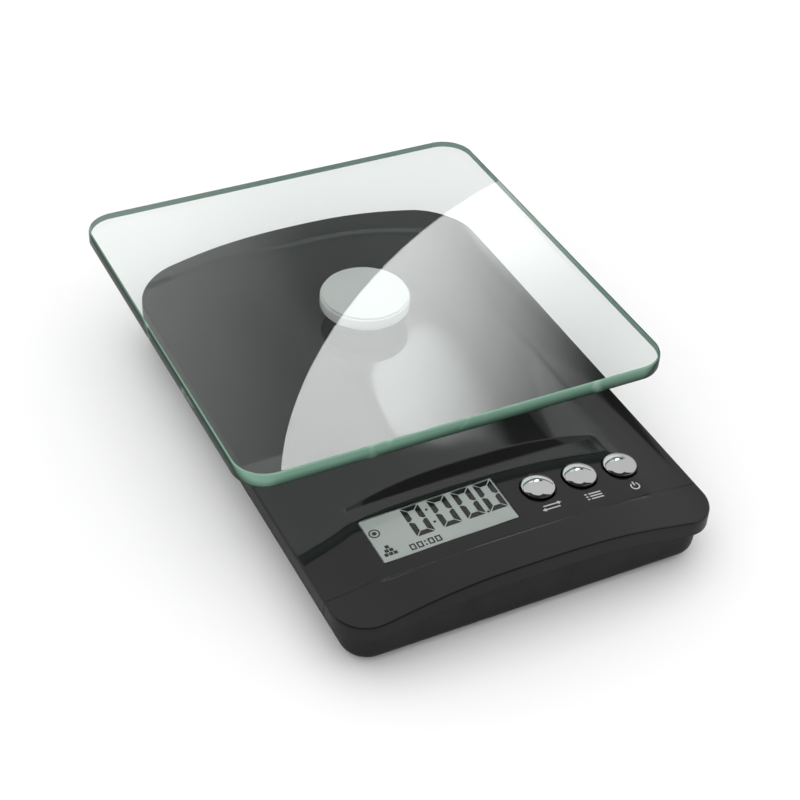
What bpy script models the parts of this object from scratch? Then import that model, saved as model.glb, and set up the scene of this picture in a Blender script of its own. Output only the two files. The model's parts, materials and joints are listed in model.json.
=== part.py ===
"""Digital gram scale: a square glass platter on a hub over a slim crowned body with a display and keys.

Every size below is in millimetres; the helpers turn it into Blender's metres. X runs to the right as
the user faces the display, Y away from the user and Z up. The origin is on the table, at the middle of
the scale's footprint.
"""

import math

import bmesh
import bpy
from mathutils import Vector

MM = 0.001
GAP = 0.3

# Platter and hub
GLASS_SIZE = 150.0
GLASS_THICK = 5.0
GLASS_CORNER = 11.0
GLASS_Y = 25.3
TOP_Z = 40.0
HUB_RADIUS = 15.3
HUB_THICK = 3.5
PAD_THICK = 0.6
PAD_RADIUS = 13.0
STEM_RADIUS = 6.5

# Body outline, seen from above
HALF_WIDTH = 64.5
FRONT_Y = -100.3
REAR_Y = 89.3
FRONT_CORNER = 12.0
REAR_CORNER = 17.0
REAR_ARC = 300.0

# Crowned deck of the top cover
EDGE_Z = 18.7
CROWN = 7.5
CROWN_Y = -40.0
CROWN_ARC = 2000.0
SKIRT = 5.7
SHELL = 2.2

# Sunk console that holds the display and the keys
CONSOLE_FRONT = -87.1
CONSOLE_FRONT_BOW = 1.6
CONSOLE_STEP = 0.5
CONSOLE_HALF = 50.0
CONSOLE_BLEND = 8.0
CONSOLE_RISE = 4.5
CONSOLE_DROP = 2.4
CONSOLE_Y = -70.0
CONSOLE_SLOPE = 0.02
SCARP_FOOT = -55.6
SCARP_FOOT_BOW = 0.7
SCARP_TOP = -52.3
SCARP_TOP_BOW = -2.3

# Bottom case
CASE_Z = 1.2
CASE_INSET = 2.5
CASE_TAPER = 0.8
CASE_WALL = 2.0
CASE_FLOOR = 2.0
CASE_ROUND = 4.0

# Display
LCD_X = -20.1
LCD_Y = -70.0
LCD_SIZE = (46.0, 19.2)
LCD_LEAN_X = math.radians(1.1)
LCD_LEAN_Y = math.radians(-2.2)
LENS_THICK = 1.2
PANEL_SIZE = (48.8, 21.0)
PANEL_THICK = 2.6
PANEL_TOP = 19.2
HOLDER_RIM = 1.3
ZEBRA_WIDE = 2.0

# Circuit board
BOARD_BOX = (-48.0, 48.0, -91.5, -57.0)
BOARD_TOP = 13.0
BOARD_THICK = 1.6

# Keys
KEY_NAMES = ("unit", "mode", "zero")
KEY_X = (14.2, 29.2, 44.2)
KEY_Y = -70.2
KEY_RADIUS = 5.4
KEY_CLEAR = 0.5
KEY_PROUD = 2.7
KEY_DOME = 1.4
KEY_STOP = 3.2
KEY_RING = 1.0
FLANGE_RADIUS = 6.5
FLANGE_THICK = 1.0
SWITCH_SIZE = 6.0
SWITCH_TOP = 15.0
PLUNGER_RADIUS = 1.7
PLUNGER_TOP = 15.9

# Load cell
CELL_SIZE = (12.7, 76.0, 9.0)
CELL_Z = 6.4
CELL_HOLE = 3.4
CELL_HOLE_PITCH = 9.0
CELL_SCREW_IN = 8.0
SPACER_LONG = 22.0
CELL_PAD_TOP = 4.6
CELL_SINK_TOP = 3.0
POTTING_THICK = 0.5
BRACKET_LIFT = 1.5
BRACKET_SIZE = (30.0, 54.0, 2.2)

# Batteries, AAA
CELL_RADIUS = 5.25
CELL_LONG = 44.5
BATTERY_Y = -34.5
BATTERY_PITCH = 11.4
BATTERY_Z = 9.6
POCKET = (52.0, 24.0, 18.0)
POCKET_WALL = 2.6
DOOR_SIZE = (54.0, 26.0, 1.5)
DOOR_Z = 2.0
HINGE_IN = 0.75

# Feet and fasteners
FOOT_RADIUS = 6.0
FOOT_TALL = 1.7
FOOT_SEAT_TOP = 2.0
FOOT_PLACES = ((-50.0, -80.0), (50.0, -80.0), (-49.0, 66.0), (49.0, 66.0))
CASE_SCREWS = ((-53.0, -62.0), (53.0, -62.0), (-52.0, 45.0), (52.0, 45.0))
BOARD_SCREWS = ((9.9, -84.0), (9.9, -59.5))
POST_RADIUS = 3.6
SCREW_RADIUS = 1.45
HEAD_RADIUS = 2.8
BORE_RADIUS = 1.9
SINK_TOP = 6.0

ARC_STEPS = 5
EDGE_STEPS = 12
SIDE_STEPS = 4


# ---------------------------------------------------------------- scene and materials

def clear_scene():
    for obj in list(bpy.data.objects):
        bpy.data.objects.remove(obj, do_unlink=True)


def new_collection(name):
    made = bpy.data.collections.new(name)
    bpy.context.scene.collection.children.link(made)
    return made


def material(name, colour, roughness, metallic=0.0, transmission=0.0):
    made = bpy.data.materials.new(name)
    made.use_nodes = True
    shader = made.node_tree.nodes["Principled BSDF"]
    shader.inputs["Base Color"].default_value = (*colour, 1.0)
    shader.inputs["Roughness"].default_value = roughness
    shader.inputs["Metallic"].default_value = metallic
    shader.inputs["Transmission Weight"].default_value = transmission
    return made


# ---------------------------------------------------------------- mesh helpers

def finish(name, mesh_data, look, collection, place=(0.0, 0.0, 0.0), lean=(0.0, 0.0, 0.0)):
    """Turns a bmesh in millimetres into an object in metres."""
    bmesh.ops.recalc_face_normals(mesh_data, faces=mesh_data.faces)
    bmesh.ops.scale(mesh_data, vec=(MM, MM, MM), verts=mesh_data.verts)
    mesh = bpy.data.meshes.new(name)
    mesh_data.to_mesh(mesh)
    mesh_data.free()
    obj = bpy.data.objects.new(name, mesh)
    obj.location = [value * MM for value in place]
    obj.rotation_euler = lean
    collection.objects.link(obj)
    if look:
        mesh.materials.append(look)
    return obj


def add_box(name, size, centre, look, collection, round_edge=0.0, lean=(0.0, 0.0, 0.0)):
    data = bmesh.new()
    bmesh.ops.create_cube(data, size=1.0)
    bmesh.ops.scale(data, vec=size, verts=data.verts)
    obj = finish(name, data, look, collection, centre, lean)
    if round_edge:
        bevel = obj.modifiers.new("round_edges", "BEVEL")
        bevel.width = round_edge * MM
        bevel.segments = 2
    return obj


def add_turned(name, profile, x, y, z, look, collection, steps=32):
    """A turned piece: profile points are (radius, height), from the top of the axis to its foot."""
    data = bmesh.new()
    corners = [data.verts.new((radius, 0.0, height)) for radius, height in profile]
    for first, second in zip(corners, corners[1:]):
        data.edges.new((first, second))
    bmesh.ops.scale(data, vec=(MM, MM, MM), verts=data.verts)
    mesh = bpy.data.meshes.new(name)
    data.to_mesh(mesh)
    data.free()
    obj = bpy.data.objects.new(name, mesh)
    obj.location = (x * MM, y * MM, z * MM)
    collection.objects.link(obj)
    mesh.materials.append(look)
    screw = obj.modifiers.new("turn", "SCREW")
    screw.steps = steps
    screw.render_steps = steps
    screw.use_merge_vertices = True
    screw.merge_threshold = 0.00001
    screw.use_smooth_shade = True
    return obj


def add_rod(name, radius, low, high, x, y, look, collection, steps=24):
    return add_turned(name, [(0, high), (radius, high), (radius, low), (0, low)],
                      x, y, 0.0, look, collection, steps)


def add_loft(name, rings, look, collection):
    """Skins a row of rings of points and caps the first and the last ring."""
    data = bmesh.new()
    rows = [[data.verts.new(point) for point in ring] for ring in rings]
    for lower, upper in zip(rows, rows[1:]):
        count = len(lower)
        for index in range(count):
            after = (index + 1) % count
            data.faces.new((lower[index], lower[after], upper[after], upper[index]))
    data.faces.new(reversed(rows[0]))
    data.faces.new(rows[-1])
    return finish(name, data, look, collection)


def combine(target, tool, operation="DIFFERENCE"):
    change = target.modifiers.new(tool.name, "BOOLEAN")
    change.operation = operation
    change.solver = "EXACT"
    change.object = tool
    tool.hide_render = True
    tool.display_type = "WIRE"
    return target


# ---------------------------------------------------------------- body surface

def crown_height(x, y):
    """Height of the crowned deck over the straight side edges."""
    along = CROWN - (y - CROWN_Y) ** 2 / (2 * CROWN_ARC)
    across = max(0.0, 1 - abs(x / HALF_WIDTH) ** 3) ** 2.2
    return along * across


def console_height(x, y):
    flat = CONSOLE_RISE - CONSOLE_DROP * min(abs(x / CONSOLE_HALF), 1.2) ** 2.4
    return flat + CONSOLE_SLOPE * (y - CONSOLE_Y)


def console_lines(x):
    """Y of the console's front edge, and of the foot and the top of the curved wall behind it."""
    bow = min(abs(x / CONSOLE_HALF), 1.0) ** 2
    return (CONSOLE_FRONT + CONSOLE_FRONT_BOW * bow, SCARP_FOOT + SCARP_FOOT_BOW * bow,
            SCARP_TOP + SCARP_TOP_BOW * bow)


def ease(value):
    value = min(max(value, 0.0), 1.0)
    return value * value * (3 - 2 * value)


def deck_z(x, y):
    """Top of the cover: the crown, with the console sunk into it."""
    high = crown_height(x, y)
    front, foot, top = console_lines(x)
    if y <= front or y >= top:
        return EDGE_Z + high
    low = console_height(x, y)
    low += (high - low) * ease((abs(x) - CONSOLE_HALF + CONSOLE_BLEND) / CONSOLE_BLEND)
    if y < front + CONSOLE_STEP:
        return EDGE_Z + high + (low - high) * (y - front) / CONSOLE_STEP
    if y > foot:
        return EDGE_Z + low + (high - low) * (y - foot) / (top - foot)
    return EDGE_Z + low


def under_deck_z(x, y):
    """Inside of the cover, one wall thickness under the lowest deck nearby."""
    lowest = min(deck_z(x, y + step) for step in (-SHELL, 0.0, SHELL))
    return lowest - SHELL


def rear_bow(x, y):
    """How far the arched rear edge pulls a row of the deck forward at its ends."""
    return x * x / (2 * REAR_ARC) * ease((y - CROWN_Y) / (REAR_Y - CROWN_Y))


def deck_rows(inset, fine):
    """Rows of the deck from front to rear: the row's Y at each X, and its half width."""
    front, rear = FRONT_Y + inset, REAR_Y - inset
    near, far = FRONT_CORNER - inset, REAR_CORNER - inset
    half = HALF_WIDTH - inset
    turns = [math.pi / 2 * step / ARC_STEPS for step in range(ARC_STEPS + 1)]
    corner = [(front + near * (1 - math.cos(turn)), half - near * (1 - math.sin(turn))) for turn in turns]
    rows = [(lambda x, y=y: y, wide) for y, wide in corner]
    if fine:
        rows += [(lambda x: console_lines(x)[0], half), (lambda x: console_lines(x)[0] + CONSOLE_STEP, half)]
        rows += [(lambda x, y=y: y, half) for y in (-80.0, -71.0, -63.0)]
        rows += [(lambda x: console_lines(x)[1], half), (lambda x: console_lines(x)[2], half)]
        middle = (-45.0, -30.0, -12.0, 8.0, 26.0, 42.0, 56.0)
    else:
        middle = (-83.5, -71.0, -57.5, -48.0, -30.0, -8.0, 20.0, 48.0)
    rows += [(lambda x, y=y: y, half) for y in middle]
    corner = [(rear - far * (1 - math.cos(turn)), half - far * (1 - math.sin(turn))) for turn in turns]
    return rows + [(lambda x, y=y: y, wide) for y, wide in reversed(corner)]


def deck_slab(name, inset, fine, upper, lower, look, collection):
    """Solid between two height functions over the body's outline."""
    rows = deck_rows(inset, fine)
    columns = 23 if fine else 15
    data = bmesh.new()
    sheets = []
    for height in (upper, lower):
        sheet = []
        for place, half in rows:
            line = []
            for column in range(columns + 1):
                x = half * (2 * column / columns - 1)
                y = place(x)
                y -= rear_bow(x, y)
                line.append(data.verts.new((x, y, height(x, y))))
            sheet.append(line)
        sheets.append(sheet)
    for sheet in sheets:
        for near, far in zip(sheet, sheet[1:]):
            for column in range(columns):
                data.faces.new((near[column], near[column + 1], far[column + 1], far[column]))
    edges = []
    for sheet in sheets:
        right = [line[-1] for line in sheet[1:]]
        left = [line[0] for line in sheet[-2:0:-1]]
        edges.append(sheet[0] + right + list(reversed(sheet[-1][:-1])) + left)
    count = len(edges[0])
    for index in range(count):
        after = (index + 1) % count
        data.faces.new((edges[0][index], edges[0][after], edges[1][after], edges[1][index]))
    bmesh.ops.triangulate(data, faces=[face for face in data.faces if len(face.verts) > 3])
    return finish(name, data, look, collection)


def outline(inset):
    """Closed outline of the body, drawn in from its edge by inset, counted the same for every inset."""
    half = HALF_WIDTH - inset
    front, rear = FRONT_Y + inset, REAR_Y - inset
    near, far = max(FRONT_CORNER - inset, 1.5), max(REAR_CORNER - inset, 1.5)
    corners = ((half - near, front + near, near, -90.0), (half - far, rear - far, far, 0.0),
               (far - half, rear - far, far, 90.0), (near - half, front + near, near, 180.0))
    steps = (SIDE_STEPS, EDGE_STEPS, SIDE_STEPS, EDGE_STEPS)
    points = []
    for index, (x, y, radius, start) in enumerate(corners):
        for step in range(ARC_STEPS + 1):
            turn = math.radians(start + 90.0 * step / ARC_STEPS)
            points.append(Vector((x + radius * math.cos(turn), y + radius * math.sin(turn))))
        following = corners[(index + 1) % 4]
        turn = math.radians(following[3])
        target = Vector((following[0] + following[2] * math.cos(turn),
                         following[1] + following[2] * math.sin(turn)))
        origin = points[-1].copy()
        for step in range(1, steps[index]):
            points.append(origin.lerp(target, step / steps[index]))
    return [(point.x, point.y - rear_bow(point.x, point.y)) for point in points]


def case_ring(inset, height):
    return [(x, y, height(x, y) if callable(height) else height) for x, y in outline(inset)]


# ---------------------------------------------------------------- pieces

def build_top_cover(look, parts, cutters):
    cover = deck_slab("top_cover", 0.0, True, deck_z,
                      lambda x, y: EDGE_Z + crown_height(x, y) - SKIRT, look, parts)
    hollow = deck_slab("cover_hollow", SHELL, False, under_deck_z,
                       lambda x, y: EDGE_Z - 3 * SKIRT, look, cutters)
    combine(cover, hollow)
    for index, (x, y) in enumerate(CASE_SCREWS):
        post = add_rod(f"cover_post_{index}", POST_RADIUS, 12.4, deck_z(x, y) - SHELL / 2, x, y,
                       look, cutters)
        combine(cover, post, "UNION")
        bore = add_rod(f"cover_bore_{index}", BORE_RADIUS, 10.0, deck_z(x, y) - SHELL - 0.5, x, y,
                       look, cutters)
        combine(cover, bore)
    for index, (x, y) in enumerate(BOARD_SCREWS):
        post = add_rod(f"board_post_{index}", POST_RADIUS, BOARD_TOP + GAP,
                       deck_z(x, y) - SHELL / 2, x, y, look, cutters)
        combine(cover, post, "UNION")
        bore = add_rod(f"board_bore_{index}", BORE_RADIUS, BOARD_TOP - 1, BOARD_TOP + 6.5, x, y,
                       look, cutters)
        combine(cover, bore)
    for index, x in enumerate(KEY_X):
        top = deck_z(x, KEY_Y)
        ring_radius = KEY_RADIUS + KEY_CLEAR + KEY_RING
        ring = add_rod(f"key_ring_{index}", ring_radius, top - KEY_STOP,
                       deck_z(x + ring_radius, KEY_Y) - KEY_RING / 2, x, KEY_Y, look, cutters)
        combine(cover, ring, "UNION")
        well = add_rod(f"key_well_{index}", KEY_RADIUS + KEY_CLEAR, top - 2 * KEY_STOP, top + 5,
                       x, KEY_Y, look, cutters, 40)
        combine(cover, well)
    window = add_box("display_opening", (*LCD_SIZE, 12.0), (LCD_X, LCD_Y, 24.0), None, cutters)
    combine(cover, window)
    hole = add_rod("hub_hole", STEM_RADIUS + 1.5, 15.0, 40.0, 0.0, GLASS_Y, look, cutters, 40)
    combine(cover, hole)
    return cover


def build_bottom_case(look, parts, cutters):
    def rim(x, y):
        return EDGE_Z + crown_height(x, y) - SHELL - 0.8

    foot = CASE_INSET + CASE_TAPER
    rings = [case_ring(foot + 40.0, CASE_Z), case_ring(foot + CASE_ROUND, CASE_Z)]
    for step in range(1, 4):
        turn = math.pi / 2 * step / 3
        rings.append(case_ring(foot + CASE_ROUND * (1 - math.sin(turn)),
                               CASE_Z + CASE_ROUND * (1 - math.cos(turn))))
    rings += [case_ring(CASE_INSET, 13.5), case_ring(CASE_INSET, rim),
              case_ring(CASE_INSET + CASE_WALL, rim), case_ring(CASE_INSET + CASE_WALL, 13.5),
              case_ring(foot + CASE_WALL, CASE_Z + CASE_ROUND + 1.0),
              case_ring(foot + CASE_ROUND + 1.0, CASE_Z + CASE_FLOOR),
              case_ring(foot + 40.0, CASE_Z + CASE_FLOOR)]
    case = add_loft("bottom_case", rings, look, parts)

    length, width, top = POCKET
    block = add_box("pocket_block", (length + 2 * POCKET_WALL, width + 2 * POCKET_WALL, top - 3.0),
                    (0.0, BATTERY_Y, 3.0 + (top - 3.0) / 2), None, cutters)
    combine(case, block, "UNION")
    inside = add_box("pocket_inside", (length, width, top - POCKET_WALL + 5.0),
                     (0.0, BATTERY_Y, (top - POCKET_WALL - 5.0) / 2), None, cutters)
    combine(case, inside)
    seat = add_box("door_seat", (DOOR_SIZE[0] + 1.0, DOOR_SIZE[1] + 1.0, 6.0),
                   (0.0, BATTERY_Y, DOOR_Z + DOOR_SIZE[2] / 2 + GAP + 0.1 - 3.0), None, cutters)
    combine(case, seat)
    for index, (x, y) in enumerate(CASE_SCREWS):
        post = add_rod(f"case_post_{index}", POST_RADIUS + 0.6, 3.0, 12.0, x, y, look, cutters)
        combine(case, post, "UNION")
        bore = add_rod(f"case_bore_{index}", BORE_RADIUS, 0.0, 15.0, x, y, look, cutters)
        combine(case, bore)
        sink = add_rod(f"case_sink_{index}", HEAD_RADIUS + 0.4, 0.0, SINK_TOP, x, y, look, cutters)
        combine(case, sink)
    for index, (x, y) in enumerate(FOOT_PLACES):
        seat = add_rod(f"foot_seat_{index}", FOOT_RADIUS + GAP, 0.0, FOOT_SEAT_TOP, x, y, look, cutters)
        combine(case, seat)
    spacer_y = GLASS_Y - CELL_SIZE[1] / 2 + SPACER_LONG / 2
    pad = add_box("cell_pad", (20.0, 24.0, CELL_PAD_TOP - 3.0), (0.0, spacer_y, (CELL_PAD_TOP + 3.0) / 2),
                  None, cutters)
    combine(case, pad, "UNION")
    for index, side in enumerate((-0.5, 0.5)):
        y = spacer_y + side * CELL_HOLE_PITCH
        bore = add_rod(f"cell_bore_{index}", BORE_RADIUS + 0.2, 0.0, 6.0, 0.0, y, look, cutters)
        combine(case, bore)
        sink = add_rod(f"cell_sink_{index}", HEAD_RADIUS + 0.4, 0.0, CELL_SINK_TOP, 0.0, y, look, cutters)
        combine(case, sink)
    return case


def build_platter(looks, parts, cutters):
    points = []
    half = GLASS_SIZE / 2 - GLASS_CORNER
    for quarter in range(4):
        corner_x = half if quarter in (0, 3) else -half
        corner_y = half if quarter < 2 else -half
        for step in range(7):
            turn = math.pi / 2 * (quarter + step / 6)
            points.append((corner_x + GLASS_CORNER * math.cos(turn),
                           corner_y + GLASS_CORNER * math.sin(turn) + GLASS_Y))
    low = TOP_Z - GLASS_THICK
    glass = add_loft("glass_platter", [[(x, y, low) for x, y in points], [(x, y, TOP_Z) for x, y in points]],
                     looks["glass"], parts)
    arris = glass.modifiers.new("ground_edges", "BEVEL")
    arris.width = 0.5 * MM
    arris.segments = 1
    arris.angle_limit = math.radians(60)

    pad_top = low - GAP
    disc_top = pad_top - PAD_THICK - GAP
    disc_low = disc_top - HUB_THICK
    add_rod("platter_bond_pad", PAD_RADIUS, pad_top - PAD_THICK, pad_top, 0.0, GLASS_Y,
            looks["bond"], parts, 40)
    add_turned("hub_disc", [(0, 0), (HUB_RADIUS - 0.5, 0), (HUB_RADIUS, -0.5),
                            (HUB_RADIUS, 0.5 - HUB_THICK), (HUB_RADIUS - 0.5, -HUB_THICK),
                            (0, -HUB_THICK)],
               0.0, GLASS_Y, disc_top, looks["hub"], parts, 48)
    bracket_top = CELL_Z + CELL_SIZE[2] + BRACKET_LIFT + BRACKET_SIZE[2]
    stem = add_rod("hub_stem", STEM_RADIUS, bracket_top + GAP, disc_low - GAP, 0.0, GLASS_Y,
                   looks["hub"], parts, 32)
    bore = add_rod("stem_bore", BORE_RADIUS, bracket_top - 1, disc_low - 3.0, 0.0, GLASS_Y,
                   looks["hub"], cutters)
    combine(stem, bore)
    return bracket_top


def build_load_cell(looks, parts, cutters, bracket_top):
    wide, long, tall = CELL_SIZE
    cell = add_box("load_cell", CELL_SIZE, (0.0, GLASS_Y, CELL_Z + tall / 2), looks["aluminium"], parts)
    for index, side in enumerate((-1, 1)):
        hole = add_rod(f"flexure_{index}", 3.0, -wide, wide, 0.0, 0.0, looks["aluminium"], cutters)
        hole.rotation_euler = (0.0, math.pi / 2, 0.0)
        hole.location = (0.0, (GLASS_Y + side * 6.5) * MM, (CELL_Z + tall / 2) * MM)
        combine(cell, hole)
    slot = add_box("flexure_slot", (2 * wide, 13.0, 2.4), (0.0, GLASS_Y, CELL_Z + tall / 2),
                   None, cutters)
    combine(cell, slot)
    fixed_y = GLASS_Y - long / 2 + SPACER_LONG / 2
    free_y = GLASS_Y + long / 2 - SPACER_LONG / 2
    spacer_low = CELL_PAD_TOP + GAP
    spacer = add_box("load_cell_spacer", (wide + 3.0, SPACER_LONG, CELL_Z - GAP - spacer_low),
                     (0.0, fixed_y, (spacer_low + CELL_Z - GAP) / 2), looks["zinc"], parts, 0.4)
    bracket_low = bracket_top - BRACKET_SIZE[2]
    bracket = add_box("platter_bracket", BRACKET_SIZE,
                      (0.0, free_y - BRACKET_SIZE[1] / 2 + SPACER_LONG / 2, (bracket_low + bracket_top) / 2),
                      looks["zinc"], parts, 0.4)
    for index, side in enumerate((-0.5, 0.5)):
        y = fixed_y + side * CELL_HOLE_PITCH
        bore = add_rod(f"fixed_bore_{index}", CELL_HOLE / 2 + 0.2, 0.0, CELL_Z + CELL_SCREW_IN, 0.0, y,
                       looks["zinc"], cutters)
        combine(cell, bore)
        combine(spacer, bore)
        add_screw(f"load_cell_screw_{index + 1}", 0.0, y, CELL_SINK_TOP - GAP - 1.4, 1.4, 10.8,
                  looks["screw"], parts)
        y = free_y + side * CELL_HOLE_PITCH
        bore = add_rod(f"free_bore_{index}", CELL_HOLE / 2 + 0.2, CELL_Z + tall - 7.5, bracket_top + 2.0,
                       0.0, y, looks["zinc"], cutters)
        combine(cell, bore)
        combine(bracket, bore)
        add_screw(f"bracket_screw_{index + 1}", 0.0, y, bracket_top + GAP + 1.4, -1.4, -8.0,
                  looks["screw"], parts)
    bore = add_rod("stem_screw_bore", BORE_RADIUS, bracket_low - 2.0, bracket_top + 2.0, 0.0, GLASS_Y,
                   looks["zinc"], cutters)
    combine(bracket, bore)
    sink = add_rod("stem_screw_sink", HEAD_RADIUS + GAP, bracket_low - 2.0, bracket_low + 1.2,
                   0.0, GLASS_Y, looks["zinc"], cutters)
    combine(bracket, sink)
    add_screw("stem_screw", 0.0, GLASS_Y, bracket_low - 0.1, 1.0, 7.0, looks["screw"], parts)
    for end, height in (("top", CELL_Z + tall + GAP + POTTING_THICK / 2),
                        ("bottom", CELL_Z - GAP - POTTING_THICK / 2)):
        add_box(f"gauge_potting_{end}", (9.0, 12.0, POTTING_THICK), (0.0, GLASS_Y - 3.0, height),
                looks["potting"], parts)


def add_screw(name, x, y, base, head, shank, look, collection):
    """A pan-head screw standing on base: head and shank are lengths, both negative to point down."""
    up = 1 if head > 0 else -1
    profile = [(0, up * abs(head + shank)), (SCREW_RADIUS * 0.6, up * abs(head + shank)),
               (SCREW_RADIUS, up * (abs(head + shank) - 0.8)), (SCREW_RADIUS, head),
               (HEAD_RADIUS - 0.1, head), (HEAD_RADIUS - 0.1, up * 0.35),
               (HEAD_RADIUS - 0.7, 0), (0, 0)]
    if up < 0:
        profile.reverse()
    return add_turned(name, profile, x, y, base, look, collection, 14)


def build_display(looks, parts, cutters):
    lean = (LCD_LEAN_X, LCD_LEAN_Y, 0.0)
    lens_top = deck_z(LCD_X, LCD_Y) - 1.1
    add_box("lcd_window", (LCD_SIZE[0] - 2 * GAP, LCD_SIZE[1] - 2 * GAP, LENS_THICK),
            (LCD_X, LCD_Y, lens_top - LENS_THICK / 2), looks["lens"], parts, lean=lean)
    add_box("lcd_panel", (*PANEL_SIZE, PANEL_THICK), (LCD_X, LCD_Y, PANEL_TOP - PANEL_THICK / 2),
            looks["lcd"], parts, lean=lean)
    inner = (PANEL_SIZE[0] + 2 * GAP, PANEL_SIZE[1] + 2 * GAP)
    holder = add_box("lcd_holder", (inner[0] + 2 * HOLDER_RIM, inner[1] + 2 * HOLDER_RIM, PANEL_THICK + 1.4),
                     (LCD_X, LCD_Y, PANEL_TOP - PANEL_THICK / 2 - 0.7), looks["inner"], parts, lean=lean)
    opening = add_box("holder_opening", (*inner, PANEL_THICK + 8.0), (LCD_X, LCD_Y, PANEL_TOP - PANEL_THICK / 2),
                      None, cutters, lean=lean)
    combine(holder, opening)
    for end, side in (("front", -1), ("rear", 1)):
        y = LCD_Y + side * (PANEL_SIZE[1] / 2 - ZEBRA_WIDE)
        strip = add_box(f"zebra_strip_{end}", (PANEL_SIZE[0] - 2.0, ZEBRA_WIDE, 8.0),
                        (LCD_X, y, BOARD_TOP + GAP + 4.0), looks["zebra"], parts)
        cap = add_box(f"zebra_cap_{end}", (80.0, 40.0, 10.0), (LCD_X, LCD_Y, PANEL_TOP - PANEL_THICK - GAP + 5.0),
                      None, cutters, lean=lean)
        combine(strip, cap)


def build_board(looks, parts, cutters):
    left, right, front, rear = BOARD_BOX
    board = add_box("main_board", (right - left, rear - front, BOARD_THICK),
                    ((left + right) / 2, (front + rear) / 2, BOARD_TOP - BOARD_THICK / 2),
                    looks["board"], parts)
    for index, (x, y) in enumerate(BOARD_SCREWS):
        bore = add_rod(f"board_hole_{index}", BORE_RADIUS, BOARD_TOP - 5, BOARD_TOP + 1, x, y,
                       looks["board"], cutters)
        combine(board, bore)
        add_screw(f"board_screw_{index + 1}", x, y, BOARD_TOP - BOARD_THICK - GAP - 1.4, 1.4, 6.5,
                  looks["screw"], parts)
    chip = add_turned("chip_dome", [(0, -1.6), (4.0, -1.2), (6.5, -0.3), (6.8, 0.0), (0, 0.0)],
                      -20.0, -73.0, BOARD_TOP - BOARD_THICK - GAP, looks["zebra"], parts, 24)
    chip.data.flip_normals()
    chip.modifiers["turn"].use_normal_flip = True


def build_keys(looks, parts, cutters):
    for name, x in zip(KEY_NAMES, KEY_X):
        surface = deck_z(x, KEY_Y)
        flange = -KEY_STOP - GAP
        dome = [(KEY_RADIUS * math.sin(turn), KEY_PROUD + KEY_DOME * (math.cos(turn) - 1))
                for turn in [math.pi / 2 * step / 4 for step in range(5)]]
        stem_low = PLUNGER_TOP + GAP - surface
        profile = dome + [(KEY_RADIUS, flange), (FLANGE_RADIUS, flange), (FLANGE_RADIUS, flange - FLANGE_THICK),
                          (1.6, flange - FLANGE_THICK), (1.6, stem_low), (0, stem_low)]
        add_turned(f"button_cap_{name}", profile, x, KEY_Y, surface, looks["chrome"], parts, 28)
        switch = add_box(f"switch_{name}", (SWITCH_SIZE, SWITCH_SIZE, SWITCH_TOP - BOARD_TOP - GAP),
                         (x, KEY_Y, (SWITCH_TOP + BOARD_TOP + GAP) / 2), looks["inner"], parts)
        bore = add_rod(f"switch_bore_{name}", PLUNGER_RADIUS + GAP, BOARD_TOP + 0.8, SWITCH_TOP + 2, x, KEY_Y,
                       looks["inner"], cutters, 20)
        combine(switch, bore)
        add_rod(f"switch_plunger_{name}", PLUNGER_RADIUS, BOARD_TOP + 1.7, PLUNGER_TOP, x, KEY_Y,
                looks["plunger"], parts, 16)


def build_battery_bay(looks, parts, cutters):
    for index, side in enumerate((-1, 1)):
        y = BATTERY_Y + side * BATTERY_PITCH / 2
        half = CELL_LONG / 2
        profile = [(0, half), (1.9, half), (1.9, half - 0.9), (CELL_RADIUS - 0.6, half - 0.9),
                   (CELL_RADIUS, half - 1.5), (CELL_RADIUS, -half + 0.5), (CELL_RADIUS - 0.5, -half), (0, -half)]
        battery = add_turned(f"battery_{index + 1}", profile, 0.0, y, BATTERY_Z, looks["battery"], parts, 20)
        battery.rotation_euler = (0.0, math.pi / 2 * side, 0.0)
    reach = POCKET[0] / 2
    add_box("battery_contact_bridge", (0.5, 20.0, 8.0), (-reach + GAP + 0.25, BATTERY_Y, BATTERY_Z),
            looks["nickel"], parts)
    for name, side in (("minus", -1), ("plus", 1)):
        y = BATTERY_Y + side * BATTERY_PITCH / 2
        add_box(f"battery_contact_{name}", (0.5, 8.5, 8.0), (reach - GAP - 0.25, y, BATTERY_Z),
                looks["nickel"], parts)
    add_spring("battery_spring_1", -1, -1, looks["nickel"], parts)
    add_spring("battery_spring_2", 1, 1, looks["nickel"], parts)

    hinge_y = BATTERY_Y + DOOR_SIZE[1] / 2 - HINGE_IN
    pivot = bpy.data.objects.new("door_pivot", None)
    pivot.location = (0.0, hinge_y * MM, DOOR_Z * MM)
    parts.objects.link(pivot)
    door = add_box("battery_door", DOOR_SIZE, (0.0, HINGE_IN - DOOR_SIZE[1] / 2, 0.0), looks["case"], parts, 0.3)
    door.parent = pivot
    catch = add_box("door_catch", (12.0, 1.2, 3.0), (0.0, BATTERY_Y - DOOR_SIZE[1] / 2 + 2.2, DOOR_Z + 1.7),
                    None, cutters)
    combine(door, catch, "UNION")


def add_spring(name, end, side, look, collection):
    """A tapered battery spring, as one turned cone between the contact plate and the cell."""
    room = POCKET[0] / 2 - CELL_LONG / 2 - 2 * GAP - 0.5 - GAP
    y = BATTERY_Y + side * BATTERY_PITCH / 2
    profile = [(0, room), (1.6, room), (3.4, 0), (0, 0)]
    spring = add_turned(name, profile, end * (POCKET[0] / 2 - 2 * GAP - 0.5), y, BATTERY_Z, look, collection, 20)
    spring.rotation_euler = (0.0, -end * math.pi / 2, 0.0)
    return spring


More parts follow.
